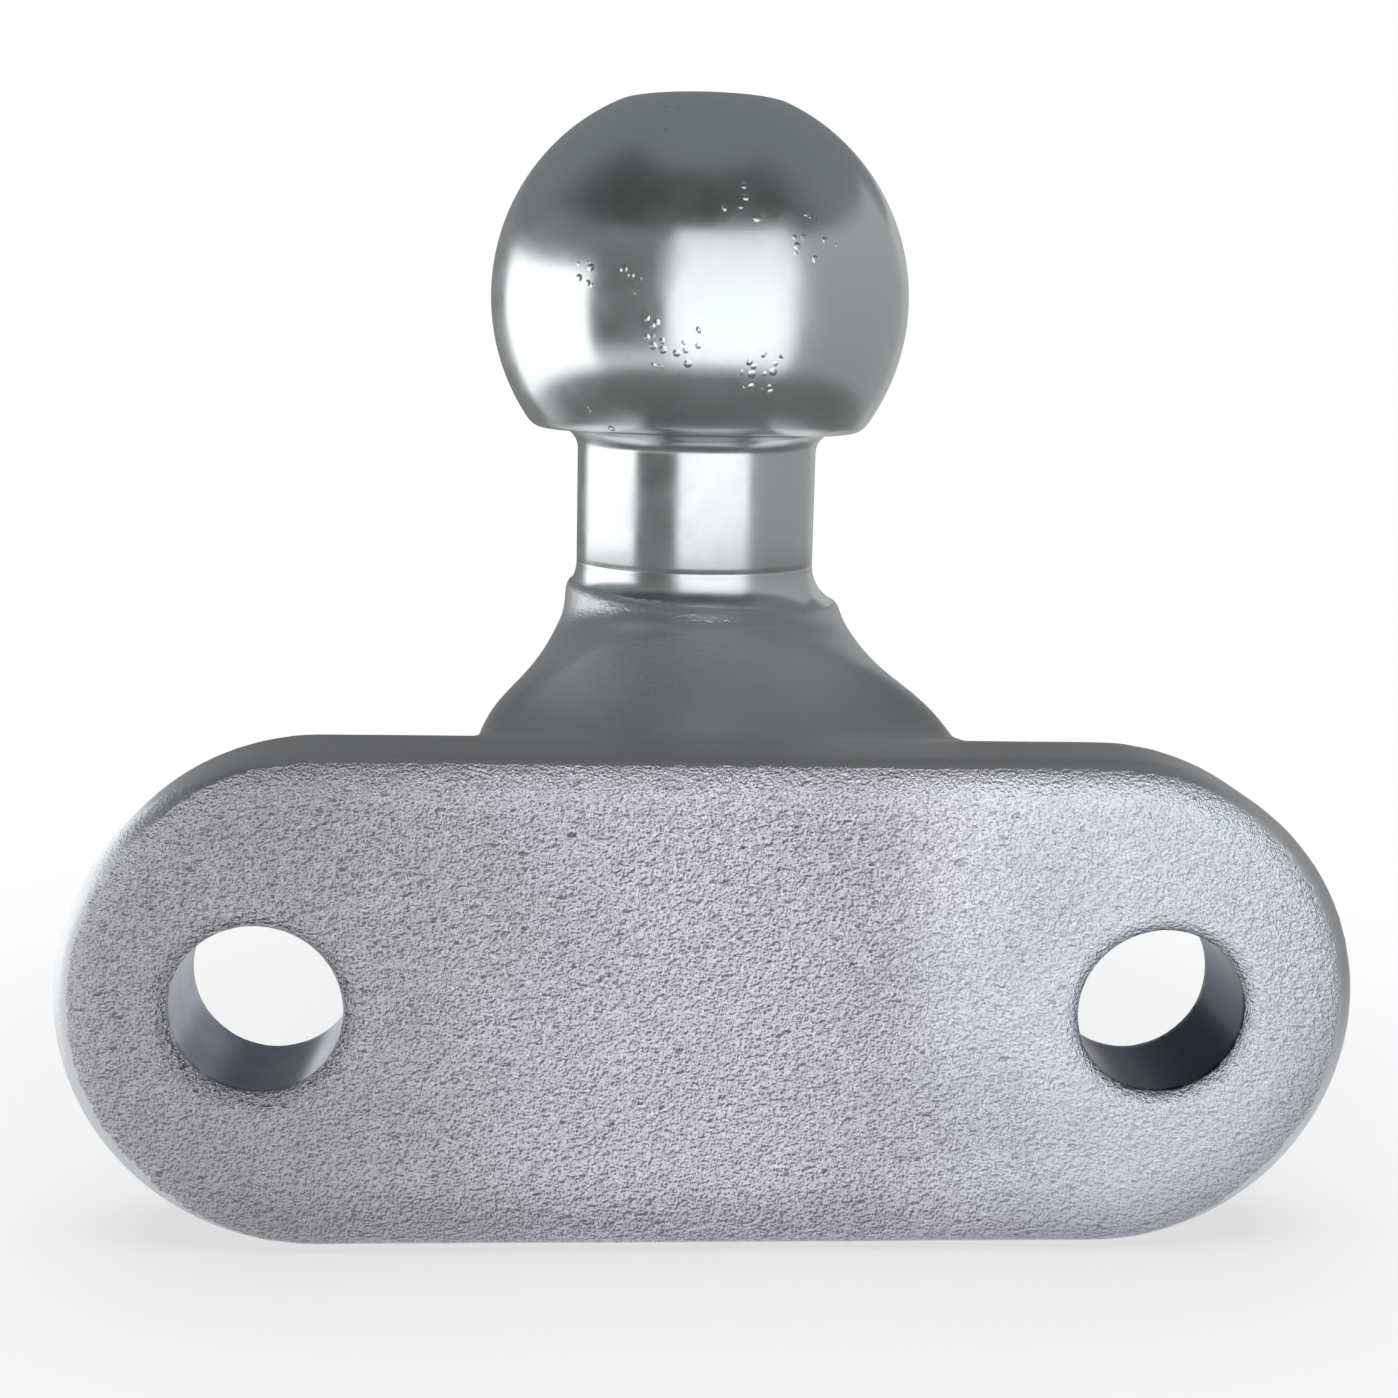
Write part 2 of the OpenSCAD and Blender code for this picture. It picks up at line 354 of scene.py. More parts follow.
def turned_profile(size):
    """Half section of the turned part as distance from the axis and height above the ball's centre:
    flat crown, crown radius, ball, rounded underside, neck with a radius at each end, and a faint
    tool step where two cuts of the neck meet."""
    ball, neck = size.ball_diameter / 2, size.neck_diameter / 2
    crown_r, crown = size.crown_radius, size.crown_height
    under_r, under = size.under_radius, size.under_depth
    crown_x = math.sqrt((ball - crown_r) ** 2 - (crown - crown_r) ** 2)
    under_x = math.sqrt((ball - under_r) ** 2 - (under - under_r) ** 2)
    crown_a = math.degrees(math.atan2(crown - crown_r, crown_x))
    under_a = -math.degrees(math.atan2(under - under_r, under_x))
    top_fillet, foot_fillet = size.neck_top_radius, size.neck_foot_radius
    foot = size.neck_foot_drop
    low = foot + foot_fillet + size.arm_overlap / 2
    outer = size.collar_diameter / 2 + size.arm_shift
    run_out = math.degrees(math.asin((neck + foot_fillet - outer) / foot_fillet))
    step = size.tool_step
    return np.concatenate(
        [
            line((0, crown), (crown_x, crown), 8),
            arc((crown_x, crown - crown_r), crown_r, 90, crown_a, 16),
            arc((0, 0), ball, crown_a, under_a, 84)[1:],
            arc((under_x, under_r - under), under_r, under_a, -90, 12)[1:],
            arc((neck + top_fillet, -under - top_fillet), top_fillet, 90, 180, 14),
            line((neck, -under - top_fillet), (neck, 12 * step - foot), 22),
            [[neck, 10 * step - foot], [neck - step, 7 * step - foot]],
            [[neck - step, 3 * step - foot], [neck, -foot]],
            arc((neck + foot_fillet, -foot), foot_fillet, 180, 270 - run_out, 22)[1:],
            [[outer, -low]],
            line((outer, -low), (0, -low), 4),
        ]
    )


def turned_shell(size):
    """Ball and neck: the half section carried round the ball's axis. Below the foot radius the
    section is held inside the collar, whose circle stands off the axis by the arm's shift."""
    profile = turned_profile(size)
    turn = np.linspace(0, 2 * np.pi, 216, endpoint=False)
    collar = size.collar_diameter / 2 - size.collar_lip - size.foot_inset
    shift = size.arm_shift
    limit = shift * np.cos(turn) + np.sqrt(collar**2 - (shift * np.sin(turn)) ** 2)
    reach = np.broadcast_to(profile[:, :1], (len(profile), len(turn)))
    below = profile[:, 1:] < -size.neck_foot_drop
    reach = np.where(below, np.minimum(reach, limit), reach)
    grid = np.stack(
        [
            reach * np.cos(turn),
            size.ball_reach + reach * np.sin(turn),
            np.broadcast_to(size.ball_rise + profile[:, 1:], reach.shape),
        ],
        axis=-1,
    )
    return closed_grid(grid[::-1])


def hole_shell(size, side):
    """Solid to cut one bolt hole before the skin is roughened: a bore a little too small, with a
    quarter-circle flare at each face of the plate, carried round the hole's axis."""
    bore, rim = size.hole_diameter / 2 - size.bore_allowance, size.hole_rim_radius
    depth, past = size.plate_thickness, 2 * MM
    profile = np.concatenate(
        [
            [[bore + rim, -past]],
            arc((bore + rim, rim), rim, -90, -180, 14),
            line((bore, rim), (bore, depth - rim), 8),
            arc((bore + rim, depth - rim), rim, 180, 90, 14),
            [[bore + rim, depth + past]],
        ]
    )
    return round_shell(profile, size.hole_spacing / 2 * side, 160)


def bore_shell(size, side):
    """Plain cylinder to drill one bolt hole to its size."""
    bore, past = size.hole_diameter / 2, 2 * MM
    depths = np.linspace(-past, size.plate_thickness + past, 20)
    profile = np.stack([np.full(20, bore), depths], axis=1)
    return round_shell(profile, size.hole_spacing / 2 * side, 192)


def round_shell(profile, x, steps):
    """Profile of distance and depth carried round an axis along Y that stands at x."""
    turn = np.linspace(0, 2 * np.pi, steps, endpoint=False)
    reach, depth = profile[:, :1], profile[:, 1:]
    across, up = x + reach * np.cos(turn), reach * np.sin(turn)
    return closed_grid(np.stack([across, np.broadcast_to(depth, across.shape), up], axis=-1))


def settle(mesh, size):
    """Evens out the facets of the skin, then rounds its concave creases: a vertex moves to the mean
    of its neighbours by as much as that mean lies outside the surface."""
    pairs = edge_pairs(mesh)
    for _ in range(3):
        points = coordinates(mesh)
        move_to(mesh, mix(points, neighbour_mean(pairs, points), 0.5))
    for _ in range(size.crease_rounds):
        points = coordinates(mesh)
        pull = neighbour_mean(pairs, points) - points
        outside = (pull * normals(mesh)).sum(axis=1, keepdims=True)
        share = 0.6 * ramp(outside, 0.004 * size.skin_step, 0.03 * size.skin_step)
        move_to(mesh, points + share * pull)


def roughen(mesh, size):
    """Wavers the skin inward by three sizes of noise, deepest on the two faces of the plate and
    hardly at the collar. It marks with attributes where the skin is as struck (1 on the faces, less
    on the arm and rim), how coarse its grain is and where the plate's edges get painted highlight
    and painted shade."""
    points, out = coordinates(mesh), normals(mesh)
    plate = 1 - ramp(points[:, 1], size.plate_thickness, size.plate_thickness + 2 * MM)
    across = np.abs(points[:, 0]) - size.hole_spacing / 2
    from_hole = np.hypot(across, points[:, 2]) - size.hole_diameter / 2 - size.hole_rim_radius
    at_hole = 1 - ramp(from_hole, 0, 2 * MM)
    facing = np.abs(out[:, 1])
    border = mix(0.55, 0.88, ramp(np.abs(points[:, 0]), 42 * MM, 58 * MM))
    skin = plate * np.maximum(ramp(facing, border, border + 0.09), at_hole * ramp(facing, 0.1, 0.5))
    foot_z = size.ball_rise - size.collar_foot_drop
    collar = ramp(points[:, 2], foot_z - 2 * MM, foot_z + 2 * MM)
    depth = mix(size.arm_waver, 1.0, skin) * (1 - 0.9 * collar)
    waver = np.zeros(len(points))
    for length, height, seed in (
        (size.swell_length, size.swell_depth, 3),
        (size.dent_length, size.dent_depth, 5),
        (size.pit_length, size.pit_depth, 8),
    ):
        waver += height * (1 + lattice_noise(points, length, seed)) / 2
    low, high = np.array(CAD_BOUNDS[0]), np.array(CAD_BOUNDS[1])
    move_to(mesh, np.clip(points - out * (waver * depth)[:, None], low, high))
    finer = ramp(points[:, 0] + 6 * MM * lattice_noise(points, 12 * MM, 13), 10 * MM, 40 * MM)
    coarse = mix(1.0, size.right_grain, finer)
    # Painted highlight and painted shade at the plate's edges
    edge_light_shade = painted_edge_shading(points, size)
    for key, value in (("skin", skin), ("coarse", coarse), ("edge_light_shade", edge_light_shade)):
        mark = mesh.attributes.new(key, "FLOAT", "POINT")
        mark.data.foreach_set("value", value.astype(np.float32))


def painted_edge_shading(points, size):
    """Share of painted highlight at the upper and left edges of the plate, and negative for painted
    shade at its lower edge. It fades over a few millimetres from the edge."""
    half = size.plate_height / 2
    bar = size.plate_width / 2 - half
    across = points[:, 0] - np.clip(points[:, 0], -bar, bar)
    reach = np.hypot(across, points[:, 2])
    side = (0.89 * points[:, 2] - 0.45 * across) / np.maximum(reach, MM)
    # Painted highlight on the upper and left edges
    bright = ramp(side, 0.0, 0.6) * ramp(reach, half - 5.5 * MM, half - 2 * MM)
    # Painted shade on the lower edge
    dull = ramp(-side, 0.2, 0.9) * ramp(reach, half - 9 * MM, half - 2 * MM)
    return bright - dull


def build_tow_ball(size, materials):
    """The whole forging as one closed mesh. The plate, its holes and the arm are fused and
    roughened as the forging, then the holes are drilled and the turned ball and neck are joined."""
    sides = (-1, 1)
    piece = new_object("tow_ball_skin", [plate_shell(size)])
    join(piece, new_object("flared_holes", [hole_shell(size, side) for side in sides]), "DIFFERENCE")
    plate = shell_of(piece)
    remove(piece)
    piece = new_object("tow_ball_skin", [plate, arm_shell(size)])
    apply_modifier(piece, "REMESH", mode="VOXEL", voxel_size=size.skin_step, use_smooth_shade=True)
    settle(piece.data, size)
    roughen(piece.data, size)
    join(piece, new_object("bores", [bore_shell(size, side) for side in sides], 2), "DIFFERENCE")
    join(piece, new_object("turned", [turned_shell(size)], 1), "UNION")
    mesh = piece.data
    for i, material in enumerate(materials):
        mesh.materials[i] = material
    mesh.shade_smooth()
    mesh.set_sharp_from_angle(angle=size.sharp_angle)
    return piece


# Surfaces


def add(tree, kind, inputs=None, **settings):
    """Adds a node to a tree. Its inputs are plain values, or output sockets to link."""
    node = tree.nodes.new(kind)
    for key, value in settings.items():
        setattr(node, key, value)
    for key, value in (inputs or {}).items():
        if isinstance(value, bpy.types.NodeSocket):
            tree.links.new(value, node.inputs[key])
        else:
            node.inputs[key].default_value = value
    return node


def calculate(tree, operation, *values, clamp=False):
    """Output of a Math node with these values."""
    inputs = dict(enumerate(values))
    return add(tree, "ShaderNodeMath", inputs, operation=operation, use_clamp=clamp).outputs[0]


def between(tree, value, low, high, start=0.0, end=1.0):
    """Value carried smoothly from start at low to end at high."""
    inputs = {"Value": value, "From Min": low, "From Max": high, "To Min": start, "To Max": end}
    return add(tree, "ShaderNodeMapRange", inputs, interpolation_type="SMOOTHSTEP").outputs["Result"]


def blend_colour(tree, share, a, b, kind="MIX"):
    """Colour a mixed with colour b by a share."""
    node = add(tree, "ShaderNodeMix", data_type="RGBA", blend_type=kind)
    for socket, value in ((node.inputs[0], share), (node.inputs[6], a), (node.inputs[7], b)):
        if isinstance(value, bpy.types.NodeSocket):
            tree.links.new(value, socket)
        else:
            socket.default_value = value
    return node.outputs[2]


def noise(tree, vector, scale, detail=2.0, roughness=0.5, distortion=0.0):
    """Value of a noise texture with about scale cells to the metre."""
    inputs = {
        "Vector": vector,
        "Scale": scale,
        "Detail": detail,
        "Roughness": roughness,
        "Distortion": distortion,
    }
    return add(tree, "ShaderNodeTexNoise", inputs).outputs[0]


def new_group(name, inputs, outputs):
    """Empty shader node group with named input and output sockets, and its two end nodes."""
    group = bpy.data.node_groups.new(name, "ShaderNodeTree")
    for socket, kind in inputs:
        group.interface.new_socket(socket, in_out="INPUT", socket_type=kind)
    for socket, kind in outputs:
        group.interface.new_socket(socket, in_out="OUTPUT", socket_type=kind)
    return group, group.nodes.new("NodeGroupInput"), group.nodes.new("NodeGroupOutput")


def grain_height(tree, place, grains):
    """Height of the struck skin at a place, about 0: fine grains, short creases and some pits."""
    squeeze = add(tree, "ShaderNodeVectorMath", {0: place, 1: (0.62, 1.0, 1.0)}, operation="MULTIPLY")
    long = squeeze.outputs[0]
    fine = noise(tree, place, grains, 2.0, 0.6, 0.2)
    coarse = noise(tree, long, calculate(tree, "MULTIPLY", grains, 0.6), 1.0, 0.5, 0.4)
    pits = noise(tree, long, calculate(tree, "MULTIPLY", grains, 0.3), 1.0, 0.5, 0.3)
    pit = between(tree, pits, 0.22, 0.34, 1.0, 0.0)
    grain = calculate(tree, "MULTIPLY_ADD", coarse, 0.8, fine)
    return calculate(tree, "SUBTRACT", calculate(tree, "MULTIPLY_ADD", pit, -0.3, grain), 0.9)


def grain_group():
    """Node group of the struck skin: the height of its grain, a share of painted light for each place and
    a slow cloud. Light is painted shade in the low places and on the lower right side of each grain, and
    painted light on its upper left side."""
    group, given, put = new_group(
        "Struck grain",
        [("Vector", "NodeSocketVector"), ("Grains", "NodeSocketFloat"), ("Skin", "NodeSocketFloat")],
        [("Height", "NodeSocketFloat"), ("Light", "NodeSocketFloat"), ("Cloud", "NodeSocketFloat")],
    )
    place, grains, skin = given.outputs[:3]
    beside = add(group, "ShaderNodeVectorMath", {0: place, 1: PAINTED_LIGHT_OFFSET}, operation="ADD").outputs[0]
    height = grain_height(group, place, grains)
    # Painted relief light: the height minus the height a step towards the upper left
    slope = calculate(group, "SUBTRACT", height, grain_height(group, beside, grains))
    # The low places are painted darker as well: painted shade
    plating = calculate(group, "MULTIPLY_ADD", height, 0.5, slope)
    group.links.new(calculate(group, "MULTIPLY", height, skin), put.inputs["Height"])
    group.links.new(between(group, plating, -0.31, 0.11), put.inputs["Light"])
    group.links.new(noise(group, place, 55.0, 3.0, 0.6), put.inputs["Cloud"])
    return group


def use_group(tree, group, inputs):
    """Places a node group in a material's tree."""
    node = add(tree, "ShaderNodeGroup", node_tree=group)
    for key, value in inputs.items():
        if isinstance(value, bpy.types.NodeSocket):
            tree.links.new(value, node.inputs[key])
        else:
            node.inputs[key].default_value = value
    return node


def new_material(name):
    """Material with an empty tree: its tree, its Principled BSDF and its object coordinates."""
    material = bpy.data.materials.new(name)
    material.use_nodes = True
    tree = material.node_tree
    tree.nodes.clear()
    shader = add(tree, "ShaderNodeBsdfPrincipled", {"Metallic": 1.0})
    out = tree.nodes.new("ShaderNodeOutputMaterial")
    tree.links.new(shader.outputs[0], out.inputs[0])
    return material, tree, shader, tree.nodes.new("ShaderNodeTexCoord").outputs["Object"]


def forged_material(finish, grain):
    """Zinc plating over the struck skin: grainy and dull on the faces, smoother and darker on the arm
    and on the trimmed rim, with an irregular border between the two. Painted shade darkens the
    grains' low places and lower right sides and the plate's lower edge, and painted highlight
    lightens its upper and left edges."""
    material, tree, shader, place = new_material("forged_zinc")
    mark = add(tree, "ShaderNodeAttribute", attribute_name="skin").outputs["Fac"]
    ragged = noise(tree, place, 620.0, 3.0, 0.65)
    edge = calculate(tree, "MULTIPLY_ADD", calculate(tree, "SUBTRACT", ragged, 0.5), 1.5, mark)
    skin = between(tree, edge, 0.35, 0.65)
    coarse = add(tree, "ShaderNodeAttribute", attribute_name="coarse").outputs["Fac"]
    depth = between(tree, skin, 0.0, 1.0, finish.smooth_grain, 1.0)
    grit = use_group(
        tree,
        grain,
        {
            "Vector": place,
            "Grains": finish.grains,
            "Skin": calculate(tree, "MULTIPLY", depth, coarse),
        },
    ).outputs
    across = add(tree, "ShaderNodeSeparateXYZ", {"Vector": place}).outputs["X"]
    drift = calculate(tree, "SUBTRACT", grit["Cloud"], 0.5)
    across = calculate(tree, "MULTIPLY_ADD", drift, 35 * MM, across)
    to_middle = between(tree, across, -50 * MM, 0.0)
    to_right = between(tree, across, -5 * MM, 48 * MM)
    face = blend_colour(tree, to_middle, (*finish.left_colour, 1), (*finish.middle_colour, 1))
    face = blend_colour(tree, to_right, face, (*finish.right_colour, 1))
    # Share of painted shade: the grains' low places and lower right sides, less where the grain is finer
    shaded = calculate(tree, "MULTIPLY", calculate(tree, "SUBTRACT", 1.0, grit["Light"]), coarse)
    # Painted highlight at the plate's upper and left edges lowers that share, painted shade at its lower
    # edge raises it
    edge_light_shade = add(tree, "ShaderNodeAttribute", attribute_name="edge_light_shade").outputs["Fac"]
    shaded = calculate(tree, "MULTIPLY_ADD", edge_light_shade, -finish.edge_light_shade, shaded, clamp=True)
    # The face colour is mixed towards the painted shade colour by that share
    shaded_face = blend_colour(tree, shaded, face, (*finish.grain_shade_colour, 1))
    colour = blend_colour(tree, skin, (*finish.smooth_colour, 1), shaded_face)
    rough = between(tree, skin, 0.0, 1.0, finish.smooth_roughness, finish.face_roughness)
    bump = add(
        tree,
        "ShaderNodeBump",
        {"Strength": 1.0, "Distance": finish.grain_depth, "Height": grit["Height"]},
    )
    tree.links.new(colour, shader.inputs["Base Color"])
    tree.links.new(rough, shader.inputs["Roughness"])
    tree.links.new(bump.outputs[0], shader.inputs["Normal"])
    return material


def turned_material(finish):
    """Bright zinc over turned steel: faint tool lines round the axis and clusters of tiny blisters."""
    material, tree, shader, place = new_material("turned_zinc")
    apart = add(tree, "ShaderNodeSeparateXYZ", {"Vector": place}).outputs
    rise = add(tree, "ShaderNodeCombineXYZ", {"Z": apart["Z"]}).outputs[0]
    lines = noise(tree, rise, 2600.0, 2.0, 0.6)
    cells = add(
        tree,
        "ShaderNodeTexVoronoi",
        {"Vector": place, "Scale": finish.blister_cells, "Randomness": 1.0},
    ).outputs
    chance = add(tree, "ShaderNodeSeparateColor", {"Color": cells["Color"]}).outputs[0]
    cluster = between(tree, noise(tree, place, 90.0, 2.0), 0.56, 0.7, 0.0, 0.6)
    for spot in BLISTER_SPOTS:
        inputs = {0: place, 1: tuple(MM * c for c in spot[:3])}
        away = add(tree, "ShaderNodeVectorMath", inputs, operation="DISTANCE").outputs["Value"]
        near = between(tree, away, 0.4 * MM * spot[3], MM * spot[3], 1.0, 0.0)
        cluster = calculate(tree, "MAXIMUM", cluster, near)
    chosen = between(tree, calculate(tree, "MULTIPLY", chance, cluster), 0.4, 0.44)
    bead = between(tree, cells["Distance"], 0.15, 0.42, 1.0, 0.0)
    blister = calculate(tree, "MULTIPLY", bead, chosen)
    height = calculate(tree, "MULTIPLY_ADD", blister, finish.blister_height / finish.line_depth, lines)
    haze = between(tree, noise(tree, place, 160.0, 4.0, 0.6), 0.3, 0.7)
    bump = add(
        tree, "ShaderNodeBump", {"Strength": 1.0, "Distance": finish.line_depth, "Height": height}
    )
    low, high = finish.turned_roughness * 0.85, finish.turned_roughness * 1.2
    tree.links.new(between(tree, haze, 0.0, 1.0, low, high), shader.inputs["Roughness"])
    tree.links.new(bump.outputs[0], shader.inputs["Normal"])
    shader.inputs["Base Color"].default_value = (*finish.turned_colour, 1)
    return material


def bored_material(finish):
    """Zinc over drilled steel: smooth, a little blue, with faint rings round the hole. The right bore
    is painted much darker than the left: painted shade.
    """
    material, tree, shader, place = new_material("bored_zinc")
    apart = add(tree, "ShaderNodeSeparateXYZ", {"Vector": place}).outputs
    depth = add(tree, "ShaderNodeCombineXYZ", {"Y": apart["Y"]}).outputs[0]
    rings = noise(tree, depth, 1500.0, 2.0, 0.6)
    mottle = between(tree, noise(tree, place, 260.0, 3.0, 0.6), 0.3, 0.7)
    # Painted shade: the colour darkens from the left bore to the right one
    right = between(tree, apart["X"], -0.02, 0.04)
    plain = blend_colour(tree, right, (*finish.bored_colour, 1), (*finish.right_bore_shade_colour, 1))
    dull = blend_colour(tree, 1.0, plain, (0.82, 0.82, 0.82, 1), "MULTIPLY")
    colour = blend_colour(tree, mottle, dull, plain)
    bump = add(
        tree, "ShaderNodeBump", {"Strength": 1.0, "Distance": finish.line_depth, "Height": rings}
    )
    tree.links.new(colour, shader.inputs["Base Color"])
    tree.links.new(bump.outputs[0], shader.inputs["Normal"])
    shader.inputs["Roughness"].default_value = finish.bored_roughness
    return material


# Stage


def card(name, turns, near, low, far, high, tones, soft):
    """Bent card of light or darkness, seen only in reflections. It has one tone at its foot and
    another at its top, and fades at its border by the share soft of its size. It spans two
    directions round the ball, counted in degrees from the camera's side to the right, and rises
    from the distance near and the height low to the distance far and the height high."""
    across, up = np.linspace(0, 1, 33), np.linspace(0, 1, 17)
    turn = np.radians(mix(*turns, across))
    way = np.stack([np.sin(turn), -np.cos(turn), np.zeros(33)], axis=1)
    distance, height = mix(near, far, up), mix(low, high, up)
    place = distance[:, None, None] * way + [0.0, BALL_REACH, 0.0]
    place[..., 2] = height[:, None]
    inside = np.minimum(np.minimum(across, 1 - across), np.minimum(up, 1 - up)[:, None])
    i, j = np.meshgrid(np.arange(16) * 33, np.arange(32), indexing="ij")
    first = (i + j).ravel()
    faces = np.stack([first, first + 1, first + 34, first + 33], axis=1)
    mesh = bpy.data.meshes.new(name)
    mesh.from_pydata(place.reshape(-1, 3).tolist(), [], faces.tolist())
    tone = np.broadcast_to(mix(*tones, up)[:, None], inside.shape)
    for key, value in (("cover", ramp(inside, 0, soft)), ("tone", tone)):
        mark = mesh.attributes.new(key, "FLOAT", "POINT")
        mark.data.foreach_set("value", value.ravel().astype(np.float32))
    material = bpy.data.materials.new(name)
    material.use_nodes = True
    tree = material.node_tree
    tree.nodes.clear()
    cover = add(tree, "ShaderNodeAttribute", attribute_name="cover").outputs["Fac"]
    level = add(tree, "ShaderNodeAttribute", attribute_name="tone").outputs["Fac"]
    clear = tree.nodes.new("ShaderNodeBsdfTransparent").outputs[0]
    glow = add(tree, "ShaderNodeEmission", {"Color": (1, 1, 1, 1), "Strength": level}).outputs[0]
    both = add(tree, "ShaderNodeMixShader", {0: cover, 1: clear, 2: glow}).outputs[0]
    tree.links.new(both, tree.nodes.new("ShaderNodeOutputMaterial").inputs[0])
    mesh.materials.append(material)
    obj = bpy.data.objects.new(name, mesh)
    bpy.context.scene.collection.objects.link(obj)
    obj.visible_camera = False
    obj.visible_diffuse = False
    obj.visible_shadow = False


def floor(studio):
    """Pale floor under the object. It fades to plain white away from it."""
    low = CAD_BOUNDS[0][2]
    half = studio.floor_size / 2
    mesh = bpy.data.meshes.new("floor")
    corners = [(-half, -half, low), (half, -half, low), (half, half, low), (-half, half, low)]
    mesh.from_pydata(corners, [], [(0, 1, 2, 3)])
    material = bpy.data.materials.new("floor")
    material.use_nodes = True
    tree = material.node_tree
    tree.nodes.clear()
    place = tree.nodes.new("ShaderNodeTexCoord").outputs["Object"]
    flat = add(tree, "ShaderNodeVectorMath", {0: place, 1: (1.0, 1.0, 0.0)}, operation="MULTIPLY")
    away = add(
        tree,
        "ShaderNodeVectorMath",
        {0: flat.outputs[0], 1: (0.0, studio.fade_centre, 0.0)},
        operation="DISTANCE",
    )
    far = between(
        tree, away.outputs["Value"], studio.fade_start, studio.fade_end, studio.near_white, 1.0
    )
    path = tree.nodes.new("ShaderNodeLightPath").outputs
    seen = calculate(tree, "MAXIMUM", path["Is Camera Ray"], path["Is Glossy Ray"])
    seen = calculate(tree, "MAXIMUM", seen, path["Is Transmission Ray"])
    paint = add(tree, "ShaderNodeBsdfDiffuse", {"Color": (*studio.floor_colour, 1)})
    white = add(tree, "ShaderNodeEmission", {"Color": (1, 1, 1, 1), "Strength": 1.0})
    share = calculate(tree, "MULTIPLY", seen, far)
    both = add(tree, "ShaderNodeMixShader", {0: share, 1: paint.outputs[0], 2: white.outputs[0]})
    tree.links.new(both.outputs[0], tree.nodes.new("ShaderNodeOutputMaterial").inputs[0])
    mesh.materials.append(material)
    obj = bpy.data.objects.new("floor", mesh)
    bpy.context.scene.collection.objects.link(obj)


def lamp(studio):
    """Soft lamp overhead, for the floor and the object's shadow on it."""
    data = bpy.data.lights.new("overhead", "AREA")
    data.size = studio.lamp_size
    data.energy = studio.lamp_power
    obj = bpy.data.objects.new("overhead", data)
    obj.location = (0.0, BALL_REACH, studio.lamp_height)
    obj.visible_glossy = False
    obj.visible_camera = False
    bpy.context.scene.collection.objects.link(obj)


def sky(studio):
    """Surroundings: white up to just above the horizon, and a dark ceiling over it."""
    world = bpy.data.worlds.new("studio")
    world.use_nodes = True
    bpy.context.scene.world = world
    tree = world.node_tree
    tree.nodes.clear()
    way = tree.nodes.new("ShaderNodeTexCoord").outputs["Generated"]
    rise = add(tree, "ShaderNodeSeparateXYZ", {"Vector": way}).outputs["Z"]
    over = between(tree, rise, studio.ceiling_start, studio.ceiling_end)
    colour = blend_colour(tree, over, (*studio.horizon_colour, 1), (*studio.ceiling_colour, 1))
    path = tree.nodes.new("ShaderNodeLightPath").outputs
    seen = calculate(tree, "MAXIMUM", path["Is Camera Ray"], path["Is Transmission Ray"])
    shown = blend_colour(tree, seen, colour, (1, 1, 1, 1))
    back = add(tree, "ShaderNodeBackground", {"Color": shown, "Strength": 1.0})
    tree.links.new(back.outputs[0], tree.nodes.new("ShaderNodeOutputWorld").inputs[0])


def camera(studio):
    """Camera of the photograph, placed by its position, its aim and its turn about the view."""
    data = bpy.data.cameras.new("camera")
    data.sensor_width = 36.0
    data.lens = studio.lens
    obj = bpy.data.objects.new("camera", data)
    bpy.context.scene.collection.objects.link(obj)
    right, up, back = CAMERA_AXES
    obj.matrix_world = Matrix(
        [[right[i], up[i], back[i], studio.camera_place[i]] for i in range(3)] + [[0, 0, 0, 1]]
    )
    bpy.context.scene.camera = obj


# Settings


def length(name, mm, description):
    """Length property with a default in millimetres."""
    return FloatProperty(
        name=name, description=description, default=mm * MM, unit="LENGTH", precision=5
    )


def angle(name, degrees, description):
    """Angle property with a default in degrees."""
    return FloatProperty(
        name=name, description=description, default=math.radians(degrees), subtype="ANGLE"
    )


def share(name, default, description):
    """Plain number property."""
    return FloatProperty(name=name, description=description, default=default)


def colour(name, default, description):
    """Linear colour property."""
    return FloatVectorProperty(
        name=name, description=description, default=default, size=3, subtype="COLOR", max=4.0
    )


